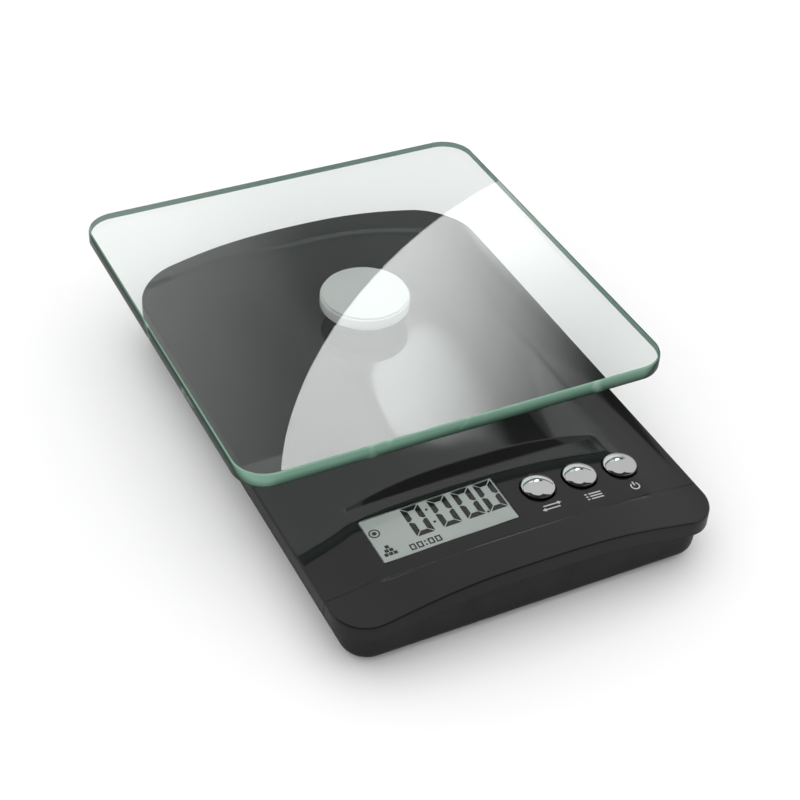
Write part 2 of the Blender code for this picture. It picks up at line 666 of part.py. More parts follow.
def build_feet(looks, parts):
    for index, (x, y) in enumerate(FOOT_PLACES):
        profile = [(0, FOOT_TALL), (FOOT_RADIUS, FOOT_TALL), (FOOT_RADIUS, 0.4), (FOOT_RADIUS - 0.5, 0), (0, 0)]
        add_turned(f"foot_{index + 1}", profile, x, y, 0.0, looks["rubber"], parts, 24)


def build_case_screws(look, parts):
    for index, (x, y) in enumerate(CASE_SCREWS):
        add_screw(f"case_screw_{index + 1}", x, y, SINK_TOP - GAP - 1.4, 1.4, 10.3, look, parts)


def add_wire(name, points, thick, look, collection):
    curve = bpy.data.curves.new(name, "CURVE")
    curve.dimensions = "3D"
    curve.bevel_depth = thick / 2 * MM
    curve.bevel_resolution = 1
    curve.use_fill_caps = True
    spline = curve.splines.new("POLY")
    spline.points.add(len(points) - 1)
    for point, place in zip(spline.points, points):
        point.co = (*[value * MM for value in place], 1.0)
    obj = bpy.data.objects.new(name, curve)
    collection.objects.link(obj)
    curve.materials.append(look)
    return obj


def rounded_route(points, steps=4):
    """A smooth route through hand-placed points, by Catmull-Rom steps."""
    ends = [points[0], *points, points[-1]]
    route = []
    for index in range(1, len(ends) - 2):
        before, start, stop, after = (Vector(ends[index + shift]) for shift in (-1, 0, 1, 2))
        for step in range(steps):
            t = step / steps
            route.append(0.5 * (2 * start + (stop - before) * t
                                + (2 * before - 5 * start + 4 * stop - after) * t * t
                                + (3 * start - before - 3 * stop + after) * t ** 3))
    return [*route, Vector(points[-1])]


def build_wires(looks, parts):
    gauge = [(-7.2, 24.0, 13.0), (-12.0, 18.0, 11.0), (-22.0, 2.0, 8.0), (-34.0, -20.0, 7.0),
             (-36.0, -40.0, 8.0), (-34.0, -52.0, 9.0), (-30.0, -57.5, 10.2)]
    add_wire("load_cell_cable", rounded_route(gauge), 1.6, looks["cable"], parts)
    leads = [(30.2, -30.0, 11.0), (33.4, -34.0, 9.5), (34.0, -46.0, 8.5), (32.0, -54.0, 9.5), (30.0, -59.0, 10.2)]
    add_wire("battery_leads", rounded_route(leads), 1.6, looks["lead"], parts)


def looks_for_parts():
    return {
        "glass": material("clear_glass", (0.86, 0.97, 0.93), 0.0, 0.0, 1.0),
        "bond": material("clear_bond", (0.88, 0.9, 0.88), 0.3),
        "hub": material("white_hub", (0.82, 0.84, 0.82), 0.35),
        "cover": material("black_cover", (0.02, 0.02, 0.022), 0.12),
        "case": material("black_case", (0.02, 0.02, 0.022), 0.3),
        "inner": material("black_inner", (0.03, 0.03, 0.03), 0.5),
        "lens": material("display_lens", (0.9, 0.93, 0.92), 0.05, 0.0, 0.9),
        "lcd": material("display_panel", (0.52, 0.58, 0.54), 0.3),
        "zebra": material("conductive_rubber", (0.05, 0.05, 0.05), 0.7),
        "board": material("circuit_board", (0.03, 0.22, 0.08), 0.45),
        "chrome": material("chromed_plastic", (0.8, 0.8, 0.8), 0.06, 1.0),
        "plunger": material("switch_plunger", (0.6, 0.1, 0.08), 0.4),
        "aluminium": material("aluminium_bar", (0.78, 0.79, 0.8), 0.3, 1.0),
        "zinc": material("zinc_plate", (0.6, 0.61, 0.62), 0.35, 1.0),
        "screw": material("screw_steel", (0.55, 0.55, 0.56), 0.3, 1.0),
        "potting": material("gauge_potting", (0.8, 0.8, 0.76), 0.4),
        "battery": material("battery_label", (0.1, 0.2, 0.3), 0.35),
        "nickel": material("nickel_contact", (0.75, 0.73, 0.68), 0.25, 1.0),
        "rubber": material("black_rubber", (0.04, 0.04, 0.04), 0.85),
        "cable": material("grey_cable", (0.35, 0.35, 0.36), 0.5),
        "lead": material("red_lead", (0.5, 0.04, 0.03), 0.5),
    }


def main():
    clear_scene()
    parts = new_collection("digital_gram_scale")
    cutters = new_collection("cutters")
    cutters.hide_render = True
    looks = looks_for_parts()
    build_top_cover(looks["cover"], parts, cutters)
    build_bottom_case(looks["case"], parts, cutters)
    bracket_top = build_platter(looks, parts, cutters)
    build_load_cell(looks, parts, cutters, bracket_top)
    build_display(looks, parts, cutters)
    build_board(looks, parts, cutters)
    build_keys(looks, parts, cutters)
    build_battery_bay(looks, parts, cutters)
    build_feet(looks, parts)
    build_case_screws(looks["screw"], parts)
    build_wires(looks, parts)


main()
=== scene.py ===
"""Looks for the digital gram scale: finer shells, glass, display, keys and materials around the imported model.

Lengths in the helpers are millimetres; MM turns them into metres. X runs right, Y away from the user, Z up.
"""

import json
import math

import bmesh
import bpy
from mathutils import Euler, Matrix, Vector


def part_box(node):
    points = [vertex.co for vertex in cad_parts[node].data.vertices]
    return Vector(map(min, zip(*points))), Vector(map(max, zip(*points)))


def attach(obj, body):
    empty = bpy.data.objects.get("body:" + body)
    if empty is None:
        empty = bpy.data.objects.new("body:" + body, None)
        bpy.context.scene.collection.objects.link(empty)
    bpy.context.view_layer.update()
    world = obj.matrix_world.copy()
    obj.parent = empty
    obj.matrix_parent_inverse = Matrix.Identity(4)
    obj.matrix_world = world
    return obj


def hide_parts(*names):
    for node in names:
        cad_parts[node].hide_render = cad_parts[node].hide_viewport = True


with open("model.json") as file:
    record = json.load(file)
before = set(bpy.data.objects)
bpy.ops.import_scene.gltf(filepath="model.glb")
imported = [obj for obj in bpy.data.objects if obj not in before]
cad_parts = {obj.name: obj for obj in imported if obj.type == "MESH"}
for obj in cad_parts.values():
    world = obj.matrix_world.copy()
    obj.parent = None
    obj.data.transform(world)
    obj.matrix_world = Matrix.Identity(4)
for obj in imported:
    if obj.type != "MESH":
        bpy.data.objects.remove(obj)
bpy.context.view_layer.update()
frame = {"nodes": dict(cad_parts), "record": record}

MM = 0.001

# Camera: where it stands from the middle of the platter's top, and how it looks
VIEW_PLACE = (-216.92, -426.33, 343.69)
VIEW_AZIMUTH = math.radians(-28.652)
VIEW_ELEVATION = math.radians(39.353)
VIEW_ROLL = math.radians(3.570)
VIEW_ANGLE = math.radians(25.85)

# Platter and hub
GLASS_Y = 25.3
GLASS_HALF = 75.0
GLASS_CORNER = 11.0
GLASS_ARRIS = 0.7
GLASS_LOW, GLASS_TOP = 35.0, 40.0
HUB_RADIUS = 15.3
HUB_LOW, HUB_TOP = 30.3, 33.8
STEM_RADIUS = 6.5
STEM_LOW = 19.4

# Body outline and crowned deck
HALF_WIDTH = 64.5
FRONT_Y, REAR_Y = -100.3, 89.3
FRONT_CORNER, REAR_CORNER = 12.0, 17.0
REAR_ARC = 300.0
EDGE_Z = 18.7
CROWN, CROWN_Y, CROWN_ARC = 7.5, -40.0, 2000.0
SKIRT = 5.7
SHELL = 2.2
CREASE = 0.9

# Console
CONSOLE_FRONT, CONSOLE_FRONT_BOW, CONSOLE_STEP = -87.3, 1.6, 1.1
CONSOLE_HALF, CONSOLE_BLEND = 50.0, 8.0
CONSOLE_RISE, CONSOLE_DROP = 4.5, 2.4
CONSOLE_Y, CONSOLE_SLOPE = -70.0, 0.02
SCARP_FOOT, SCARP_FOOT_BOW = -55.6, 0.7
SCARP_TOP, SCARP_TOP_BOW = -52.3, -2.3

# Display
LCD_X, LCD_Y = -20.1, -70.0
LCD_WIDE, LCD_DEEP = 46.0, 19.2
LCD_LEAN = Euler((math.radians(1.1), math.radians(-2.2), 0.0))
LENS_DROP, LENS_THICK, LENS_GAP = 0.4, 0.5, 0.05
PANEL_THICK = 2.4

# Keys
KEY_Y = -70.2
KEY_X = {"unit": 14.2, "mode": 29.2, "zero": 44.2}
KEY_RADIUS = 5.4
KEY_PROUD = 2.7
KEY_DOME_RADIUS, KEY_DOME_TALL, KEY_DOME_TURN = 4.9, 1.3, math.radians(32)
KEY_FLANGE, KEY_STEM, KEY_STEM_LOW = 6.5, 1.6, 16.2
WELL_RADIUS = 5.9

# Bottom case
CASE_Z = 1.2
CASE_INSET, CASE_TAPER, CASE_ROUND = 2.5, 0.8, 4.0
DOOR_Y = -34.5
DOOR_WIDE, DOOR_DEEP, DOOR_LOW, DOOR_TOP = 54.0, 26.0, 1.25, 2.75
POCKET_X, POCKET_Y, POCKET_WALL = 26.0, 12.0, 2.6
POCKET_LOW, POCKET_ROOF, POCKET_CORNER = 3.25, 18.0, 0.5
RECESS_GAP, RECESS_TOP, CASE_FLOOR_TOP = 0.35, 3.1, 4.2
CASE_WALL, CASE_BEND_Z, CASE_RIM_DROP = 1.9, 13.5, 0.8
PLATE_SINK = 0.4
FEET = ((-50.0, -80.0), (50.0, -80.0), (-49.0, 66.0), (49.0, 66.0))
FOOT_RADIUS, FOOT_TALL, FOOT_GAP = 6.0, 1.7, 0.3
CASE_SCREWS = ((-53.0, -62.0), (53.0, -62.0), (-52.0, 45.0), (52.0, 45.0))
CELL_SCREWS = ((0.0, -6.2), (0.0, 2.8))
SINK_RADIUS = 3.2

ARC_STEPS = 16
DECK_COLUMNS = 96
SCARP_SHARES = (-0.25, -0.12, -0.06, 0.0, 0.06, 0.12, 0.3, 0.5, 0.7, 0.88, 0.94, 1.0, 1.06, 1.12, 1.25)
FLOOR_ROWS = (-84.2, -57.2)
REAR_ROWS_START, REAR_ROWS_GAP = -50.6, 3.0
NORMAL_STEP, NORMAL_REACH = 0.02, 0.05
CUT_BELOW = -5.0
PRINT_THICK, INK_THICK = 0.05, 0.03
DIGIT_STARTS, DIGIT_LOW = (-9.0, 0.1, 8.3, 16.0), -3.5
DIGIT_WIDE, DIGIT_TALL, DIGIT_STROKE, DIGIT_GAP = 6.2, 12.6, 1.85, 0.28
DOT = 0.42

# Materials: how deep a bump of strength 1 is, in metres
BUMP_DEPTH = 0.0001

# Stage, in metres: lamps as name, place, size and power, and the cards that only reflections see
LAMPS = (("overhead", (0.0, 0.1, 1.9), 2.2, 10.0), ("side", (-1.5, -0.6, 1.3), 0.9, 1.5))
WORLD_LEVEL, WORLD_REFLECTED = 0.95, 0.52
FLOOR_HALF, FLOOR_GREY, FLOOR_REFLECTED = 6.0, 0.93, 0.32
SOFTBOX_PLACE, SOFTBOX_RADIUS, SOFTBOX_TOP = (1.833, 2.525, 2.582), 0.771, 2.62
BACKDROP_X, BACKDROP_Y, BACKDROP_Z = (0.2, 2.6), 2.57, (1.2, 2.54)
FLAG_RADIUS, FLAG_GLOW = 2.2, 0.03
FLAG_ASIDE, FLAG_LOW, FLAG_HIGH = 80.0, 6.0, 70.0


# ---------------------------------------------------------------- materials

def new_material(name, colour, roughness, metallic=0.0, **sockets):
    """A Principled material; returns it with its nodes, links and shader."""
    made = bpy.data.materials.new(name)
    made.use_nodes = True
    shader = made.node_tree.nodes["Principled BSDF"]
    shader.inputs["Base Color"].default_value = (*colour, 1.0)
    shader.inputs["Roughness"].default_value = roughness
    shader.inputs["Metallic"].default_value = metallic
    for socket, value in sockets.items():
        shader.inputs[socket.replace("_", " ")].default_value = value
    return made, made.node_tree.nodes, made.node_tree.links, shader


def noise_on(nodes, links, scale, detail=3.0, rough=0.55, stretch=(1.0, 1.0, 1.0)):
    place = nodes.new("ShaderNodeTexCoord")
    mapping = nodes.new("ShaderNodeMapping")
    mapping.inputs["Scale"].default_value = stretch
    links.new(place.outputs["Object"], mapping.inputs["Vector"])
    noise = nodes.new("ShaderNodeTexNoise")
    noise.inputs["Scale"].default_value = scale
    noise.inputs["Detail"].default_value = detail
    noise.inputs["Roughness"].default_value = rough
    links.new(mapping.outputs["Vector"], noise.inputs["Vector"])
    return noise


def vary_roughness(nodes, links, shader, noise, low, high):
    spread = nodes.new("ShaderNodeMapRange")
    spread.inputs["From Min"].default_value = 0.3
    spread.inputs["From Max"].default_value = 0.7
    spread.inputs["To Min"].default_value = low
    spread.inputs["To Max"].default_value = high
    links.new(noise.outputs["Fac"], spread.inputs["Value"])
    links.new(spread.outputs["Result"], shader.inputs["Roughness"])


def vary_colour(nodes, links, shader, noise, first, second):
    ramp = nodes.new("ShaderNodeValToRGB")
    ramp.color_ramp.elements[0].position = 0.35
    ramp.color_ramp.elements[1].position = 0.65
    ramp.color_ramp.elements[0].color = (*first, 1.0)
    ramp.color_ramp.elements[1].color = (*second, 1.0)
    links.new(noise.outputs["Fac"], ramp.inputs["Fac"])
    links.new(ramp.outputs["Color"], shader.inputs["Base Color"])


def add_bump(nodes, links, shader, noise, strength, distance):
    bump = nodes.new("ShaderNodeBump")
    bump.inputs["Strength"].default_value = strength
    bump.inputs["Distance"].default_value = distance
    links.new(noise.outputs["Fac"], bump.inputs["Height"])
    links.new(bump.outputs["Normal"], shader.inputs["Normal"])


def surface(name, first, second, low, high, scale, bump, metallic=0.0, stretch=(1.0, 1.0, 1.0), **sockets):
    """A material whose colour and roughness vary softly, with a fine bump of its own scale."""
    made, nodes, links, shader = new_material(name, first, low, metallic, **sockets)
    broad = noise_on(nodes, links, scale, 3.0, 0.5, stretch)
    vary_colour(nodes, links, shader, broad, first, second)
    vary_roughness(nodes, links, shader, broad, low, high)
    if bump:
        fine = noise_on(nodes, links, scale * 12, 2.0, 0.6, stretch)
        add_bump(nodes, links, shader, fine, bump, BUMP_DEPTH)
    return made


def glass_material():
    made, nodes, links, shader = new_material(
        "float_glass", (1.0, 1.0, 1.0), 0.0, IOR=1.52, Transmission_Weight=1.0)
    tint = noise_on(nodes, links, 18.0, 2.0, 0.5)
    vary_colour(nodes, links, shader, tint, (1.0, 1.0, 1.0), (0.985, 0.99, 0.987))
    absorb = nodes.new("ShaderNodeVolumeAbsorption")
    absorb.inputs["Color"].default_value = (0.0, 0.42, 0.26, 1.0)
    absorb.inputs["Density"].default_value = 12.0
    links.new(absorb.outputs["Volume"], nodes["Material Output"].inputs["Volume"])
    return made


def ground_edge_material():
    """The glass's ground edge in painted light: its green stands in for light through the glass, pale face on
    and a painted deep green shade at a slant, with small bright flecks painted as sparkle.
    """
    made, nodes, links, shader = new_material("glass_edge", (0.10, 0.22, 0.16), 0.12, IOR=1.52)
    # Painted light and shade: the facing ramp turns the edge's painted green from pale face on to deep green at
    # a slant, in place of light coming through the glass.
    facing = nodes.new("ShaderNodeLayerWeight")
    facing.inputs["Blend"].default_value = 0.5
    painted_slant_shade = nodes.new("ShaderNodeValToRGB")
    painted_slant_shade.color_ramp.elements[0].position = 0.25
    painted_slant_shade.color_ramp.elements[1].position = 0.55
    painted_slant_shade.color_ramp.elements[0].color = (0.20, 0.36, 0.27, 1.0)
    painted_slant_shade.color_ramp.elements[1].color = (0.004, 0.022, 0.012, 1.0)
    links.new(facing.outputs["Facing"], painted_slant_shade.inputs["Fac"])
    # Painted sparkle: where this noise is high, bright flecks are added to the edge's colour in place of
    # glints. The same noise also varies the roughness.
    chip_and_sparkle_noise = noise_on(nodes, links, 70.0, 2.0, 0.6)
    painted_sparkle = nodes.new("ShaderNodeValToRGB")
    painted_sparkle.color_ramp.elements[0].position = 0.58
    painted_sparkle.color_ramp.elements[1].position = 0.70
    painted_sparkle.color_ramp.elements[0].color = (0.0, 0.0, 0.0, 1.0)
    painted_sparkle.color_ramp.elements[1].color = (0.20, 0.26, 0.23, 1.0)
    links.new(chip_and_sparkle_noise.outputs["Fac"], painted_sparkle.inputs["Fac"])
    both = nodes.new("ShaderNodeMix")
    both.data_type = "RGBA"
    both.blend_type = "ADD"
    both.inputs[0].default_value = 1.0
    links.new(painted_slant_shade.outputs["Color"], both.inputs[6])
    links.new(painted_sparkle.outputs["Color"], both.inputs[7])
    links.new(both.outputs[2], shader.inputs["Base Color"])
    vary_roughness(nodes, links, shader, chip_and_sparkle_noise, 0.08, 0.2)
    inside = nodes.new("ShaderNodeNewGeometry")
    clear = nodes.new("ShaderNodeBsdfTransparent")
    clear.inputs["Color"].default_value = (0.70, 0.84, 0.77, 1.0)
    sides = nodes.new("ShaderNodeMixShader")
    links.new(inside.outputs["Backfacing"], sides.inputs["Fac"])
    links.new(shader.outputs["BSDF"], sides.inputs[1])
    links.new(clear.outputs["BSDF"], sides.inputs[2])
    links.new(sides.outputs["Shader"], nodes["Material Output"].inputs["Surface"])
    return made


def make_looks():
    return {
        "clear_glass": glass_material(),
        "clear_bond": surface("bond_film", (0.88, 0.89, 0.88), (0.85, 0.86, 0.85), 0.3, 0.38, 60.0, 0.0),
        "white_hub": surface("hub_plastic", (0.88, 0.89, 0.88), (0.85, 0.86, 0.85), 0.28, 0.36, 80.0, 0.05),
        "black_cover": surface("gloss_black", (0.010, 0.010, 0.0105), (0.012, 0.012, 0.0125), 0.045, 0.075,
                               35.0, 0.0, IOR=1.5),
        "black_case": surface("satin_black", (0.014, 0.014, 0.015), (0.018, 0.018, 0.019), 0.27, 0.30,
                              120.0, 0.0, IOR=1.38),
        "black_inner": surface("inner_black", (0.012, 0.012, 0.012), (0.016, 0.016, 0.016), 0.45, 0.55,
                               90.0, 0.1),
        "display_lens": surface("clear_acrylic", (0.97, 0.98, 0.975), (0.95, 0.965, 0.96), 0.0, 0.012,
                                25.0, 0.0, IOR=1.3, Transmission_Weight=1.0),
        "display_panel": surface("liquid_crystal", (0.46, 0.50, 0.475), (0.43, 0.47, 0.445), 0.22, 0.3,
                                 30.0, 0.0),
        "conductive_rubber": surface("layered_rubber", (0.02, 0.02, 0.02), (0.05, 0.05, 0.05), 0.6, 0.75,
                                     200.0, 0.2, stretch=(1.0, 6.0, 1.0)),
        "circuit_board": surface("solder_mask", (0.02, 0.16, 0.06), (0.03, 0.2, 0.08), 0.35, 0.5, 90.0, 0.1),
        "chromed_plastic": surface("bright_chrome", (0.93, 0.93, 0.94), (0.88, 0.88, 0.89), 0.03, 0.07,
                                   60.0, 0.0, metallic=1.0),
        "switch_plunger": surface("plunger_plastic", (0.5, 0.08, 0.06), (0.42, 0.06, 0.05), 0.35, 0.45,
                                  90.0, 0.1),
        "aluminium_bar": surface("milled_aluminium", (0.76, 0.77, 0.78), (0.68, 0.69, 0.7), 0.22, 0.36,
                                 40.0, 0.25, metallic=1.0, stretch=(1.0, 8.0, 1.0)),
        "zinc_plate": surface("zinc_plating", (0.58, 0.59, 0.6), (0.68, 0.69, 0.72), 0.28, 0.42, 70.0, 0.15,
                              metallic=1.0),
        "screw_steel": surface("plated_steel", (0.52, 0.52, 0.53), (0.44, 0.44, 0.45), 0.22, 0.36,
                               300.0, 0.15, metallic=1.0),
        "gauge_potting": surface("white_silicone", (0.74, 0.74, 0.7), (0.68, 0.68, 0.64), 0.35, 0.5,
                                 80.0, 0.3),
        "battery_label": surface("battery_sleeve", (0.06, 0.12, 0.2), (0.08, 0.15, 0.24), 0.25, 0.35,
                                 60.0, 0.05),
        "nickel": surface("nickel_plating", (0.7, 0.68, 0.63), (0.6, 0.58, 0.54), 0.18, 0.3, 120.0, 0.1,
                          metallic=1.0),
        "black_rubber": surface("foot_rubber", (0.018, 0.018, 0.018), (0.028, 0.028, 0.028), 0.75, 0.9,
                                160.0, 0.4),
        "grey_cable": surface("vinyl_grey", (0.3, 0.3, 0.31), (0.26, 0.26, 0.27), 0.4, 0.5, 120.0, 0.1),
        "red_lead": surface("vinyl_red", (0.42, 0.03, 0.025), (0.36, 0.025, 0.02), 0.4, 0.5, 120.0, 0.1),
    }


# ---------------------------------------------------------------- mesh helpers

def to_object(name, data, look):
    """A bmesh in millimetres becomes an object in metres, in the place where it was built."""
    bmesh.ops.recalc_face_normals(data, faces=data.faces)
    bmesh.ops.scale(data, vec=(MM, MM, MM), verts=data.verts)
    mesh = bpy.data.meshes.new(name)
    data.to_mesh(mesh)
    data.free()
    obj = bpy.data.objects.new(name, mesh)
    bpy.context.scene.collection.objects.link(obj)
    if look:
        mesh.materials.append(look)
    return obj


def shade(obj, angle=30.0, flat_caps=True):
    """Smooth shading with sharp edges kept; level faces stay flat, so that they mirror without a bend."""
    obj.data.shade_smooth()
    obj.data.set_sharp_from_angle(angle=math.radians(angle))
    if flat_caps:
        for face in obj.data.polygons:
            if abs(face.normal.z) > 0.99999:
                face.use_smooth = False
    return obj


def skin(data, rings, close_first=True, close_last=True):
    rows = [[data.verts.new(point) for point in ring] for ring in rings]
    for lower, upper in zip(rows, rows[1:]):
        count = len(lower)
        for index in range(count):
            after = (index + 1) % count
            data.faces.new((lower[index], lower[after], upper[after], upper[index]))
    if close_first:
        data.faces.new(reversed(rows[0]))
    if close_last:
        data.faces.new(rows[-1])


def loft(name, rings, look, angle=30.0):
    data = bmesh.new()
    skin(data, rings)
    return shade(to_object(name, data, look), angle)


def turned(name, profile, centre, look, steps=72, angle=30.0):
    """A closed turned piece: profile points are (radius, height) from one end of the axis to the other."""
    data = bmesh.new()
    x, y, z = centre
    ends = [data.verts.new((x, y, z + profile[0][1])), data.verts.new((x, y, z + profile[-1][1]))]
    turns = [2 * math.pi * step / steps for step in range(steps)]
    rows = [[data.verts.new((x + radius * math.cos(turn), y + radius * math.sin(turn), z + height))
             for turn in turns] for radius, height in profile[1:-1]]
    for lower, upper in zip(rows, rows[1:]):
        for index in range(steps):
            after = (index + 1) % steps
            data.faces.new((lower[index], lower[after], upper[after], upper[index]))
    for end, row in zip(ends, (rows[0], rows[-1])):
        for index in range(steps):
            data.faces.new((end, row[index], row[(index + 1) % steps]))
    return shade(to_object(name, data, look), angle)


def rounded_square(half_x, half_y, corner, centre, steps=ARC_STEPS):
    points = []
    for quarter in range(4):
        x = (half_x - corner) * (1 if quarter in (0, 3) else -1)
        y = (half_y - corner) * (1 if quarter < 2 else -1)
        for step in range(steps + 1):
            turn = math.pi / 2 * (quarter + step / steps)
            points.append((centre[0] + x + corner * math.cos(turn), centre[1] + y + corner * math.sin(turn)))
    return points


def slab(name, half_x, half_y, corner, centre, low, high, edge, look, steps=ARC_STEPS, angle=30.0):
    """A plate with rounded corners and softened edges."""
    rings = []
    for height, inset in ((low, edge), (low + edge * 0.3, edge * 0.3), (low + edge, 0.0),
                          (high - edge, 0.0), (high - edge * 0.3, edge * 0.3), (high, edge)):
        ring = rounded_square(half_x - inset, half_y - inset, max(corner - inset, 0.05), centre, steps)
        rings.append([(x, y, height) for x, y in ring])
    return loft(name, rings, look, angle)


def apply_modifiers(obj):
    bpy.context.view_layer.update()
    mesh = bpy.data.meshes.new_from_object(obj.evaluated_get(bpy.context.evaluated_depsgraph_get()))
    obj.modifiers.clear()
    obj.data = mesh


def cut(target, tools):
    for tool in tools:
        change = target.modifiers.new(tool.name, "BOOLEAN")
        change.operation = "DIFFERENCE"
        change.solver = "EXACT"
        change.object = tool
    apply_modifiers(target)
    for tool in tools:
        bpy.data.objects.remove(tool, do_unlink=True)


# ---------------------------------------------------------------- body surface

def ease(value):
    value = min(max(value, 0.0), 1.0)
    return value * value * (3 - 2 * value)


def soft_ramp(value, fillet):
    """A straight ramp from 0 to 1 whose two ends are rounded over the given share of it."""
    if value <= -fillet:
        return 0.0
    if value >= 1 + fillet:
        return 1.0
    if value < fillet:
        return (value + fillet) ** 2 / (4 * fillet)
    if value > 1 - fillet:
        return 1 - (1 + fillet - value) ** 2 / (4 * fillet)
    return value


def crown_height(x, y):
    along = CROWN - (y - CROWN_Y) ** 2 / (2 * CROWN_ARC)
    return along * max(0.0, 1 - abs(x / HALF_WIDTH) ** 3) ** 2.2


def console_lines(x):
    bow = min(abs(x / CONSOLE_HALF), 1.0) ** 2
    return (CONSOLE_FRONT + CONSOLE_FRONT_BOW * bow, SCARP_FOOT + SCARP_FOOT_BOW * bow,
            SCARP_TOP + SCARP_TOP_BOW * bow)


def deck_z(x, y):
    """Top of the cover, with the console's front step and rear wall softened."""
    high = crown_height(x, y)
    front, foot, top = console_lines(x)
    low = CONSOLE_RISE - CONSOLE_DROP * min(abs(x / CONSOLE_HALF), 1.2) ** 2.4
    low += CONSOLE_SLOPE * (y - CONSOLE_Y)
    low += (high - low) * ease((abs(x) - CONSOLE_HALF + CONSOLE_BLEND) / CONSOLE_BLEND)
    sunk = soft_ramp((y - front) / CONSOLE_STEP, 0.45)
    sunk *= 1 - soft_ramp((y - foot) / max(top - foot, 0.3), 0.12)
    return EDGE_Z + high + (low - high) * sunk


def rear_bow(x, y):
    return x * x / (2 * REAR_ARC) * ease((y - CROWN_Y) / (REAR_Y - CROWN_Y))


def spread(low, high, steps):
    return [low + (high - low) * step / steps for step in range(steps + 1)]


def deck_rows(inset):
    """Rows across the deck from front to rear: a function for the row's Y, and the row's half width."""
    front, rear = FRONT_Y + inset, REAR_Y - inset
    near, far = FRONT_CORNER - inset, REAR_CORNER - inset
    half = HALF_WIDTH - inset
    turns = spread(0.0, math.pi / 2, ARC_STEPS)
    rows = [(lambda x, y=front + near * (1 - math.cos(turn)): y, half - near * (1 - math.sin(turn)))
            for turn in turns]
    rows += [(lambda x, share=share: console_lines(x)[0] + CONSOLE_STEP * share, half)
             for share in spread(-0.7, 1.7, 16)]
    rows += [(lambda x, y=y: y, half) for y in spread(*FLOOR_ROWS, 20)]
    rows += [(lambda x, share=share: console_lines(x)[1] * (1 - share) + console_lines(x)[2] * share, half)
             for share in SCARP_SHARES]
    rows += [(lambda x, y=y: y, half) for y in spread(REAR_ROWS_START, rear - far - REAR_ROWS_GAP, 30)]
    rows += [(lambda x, y=rear - far * (1 - math.cos(turn)): y, half - far * (1 - math.sin(turn)))
             for turn in reversed(turns)]
    return rows


def deck_sheet(data, inset, height):
    """Grid of the deck inside the crease, with its edge as one closed list of corners."""
    sheet = []
    for place, half in deck_rows(inset):
        line = []
        for column in range(DECK_COLUMNS + 1):
            x = half * (2 * column / DECK_COLUMNS - 1)
            y = place(x)
            y -= rear_bow(x, y)
            line.append(data.verts.new((x, y, height(x, y))))
        sheet.append(line)
    for near, far in zip(sheet, sheet[1:]):
        for column in range(DECK_COLUMNS):
            data.faces.new((near[column], near[column + 1], far[column + 1], far[column]))
    right = [line[-1] for line in sheet[1:]]
    left = [line[0] for line in sheet[-2:0:-1]]
    return sheet[0] + right + list(reversed(sheet[-1][:-1])) + left


def build_cover(look):
    data = bmesh.new()
    edge = deck_sheet(data, CREASE, deck_z)
    inner = deck_sheet(data, CREASE, lambda x, y: deck_z(x, y) - SHELL)
    count = len(edge)
    outward = []
    for index in range(count):
        along = edge[(index + 1) % count].co - edge[index - 1].co
        outward.append(Vector((along.y, -along.x, 0.0)).normalized())
    steps = [(CREASE * math.sin(turn), -CREASE * (1 - math.cos(turn)))
             for turn in spread(0.0, math.pi / 2, 6)[1:]]
    steps += [(CREASE, -SKIRT * 0.5), (CREASE, 0.25 - SKIRT), (CREASE - 0.25, -SKIRT), (CREASE - 1.7, -SKIRT),
              (CREASE - 1.9, -SKIRT * 0.6)]
    rings = [edge]
    for out, drop in steps:
        rings.append([data.verts.new(vert.co + side * out + Vector((0.0, 0.0, drop)))
                      for vert, side in zip(edge, outward)])
    rings.append(inner)
    for lower, upper in zip(rings, rings[1:]):
        for index in range(count):
            after = (index + 1) % count
            data.faces.new((lower[index], lower[after], upper[after], upper[index]))
    cover = to_object("top_cover_shell", data, look)
    tools = [slab("display_cut", LCD_WIDE / 2, LCD_DEEP / 2, 0.8, (LCD_X, LCD_Y), 10.0, 40.0, 0.01, None, 4)]
    for name, x in KEY_X.items():
        tools.append(turned(f"well_cut_{name}", [(0, 0), (WELL_RADIUS, 0), (WELL_RADIUS, 30), (0, 30)],
                            (x, KEY_Y, 10.0), None, 64))
    tools.append(turned("hub_cut", [(0, 0), (8.0, 0), (8.0, 30), (0, 30)], (0.0, GLASS_Y, 10.0), None, 64))
    cut(cover, tools)
    shade(cover, 28.0, False)
    smooth_deck(cover)
    return cover


def smooth_deck(cover):
    """Gives the deck the exact normals of its own height function, so that reflections run clean."""
    mesh = cover.data
    normals = [Vector((0.0, 0.0, 0.0))] * len(mesh.loops)
    for face in mesh.polygons:
        if face.normal.z < 0.2:
            continue
        for loop in face.loop_indices:
            x, y, z = (value / MM for value in mesh.vertices[mesh.loops[loop].vertex_index].co)
            if abs(z - deck_z(x, y)) < NORMAL_REACH:
                across = (deck_z(x + NORMAL_STEP, y) - deck_z(x - NORMAL_STEP, y)) / (2 * NORMAL_STEP)
                along = (deck_z(x, y + NORMAL_STEP) - deck_z(x, y - NORMAL_STEP)) / (2 * NORMAL_STEP)
                normals[loop] = Vector((-across, -along, 1.0)).normalized()
    mesh.normals_split_custom_set(normals)


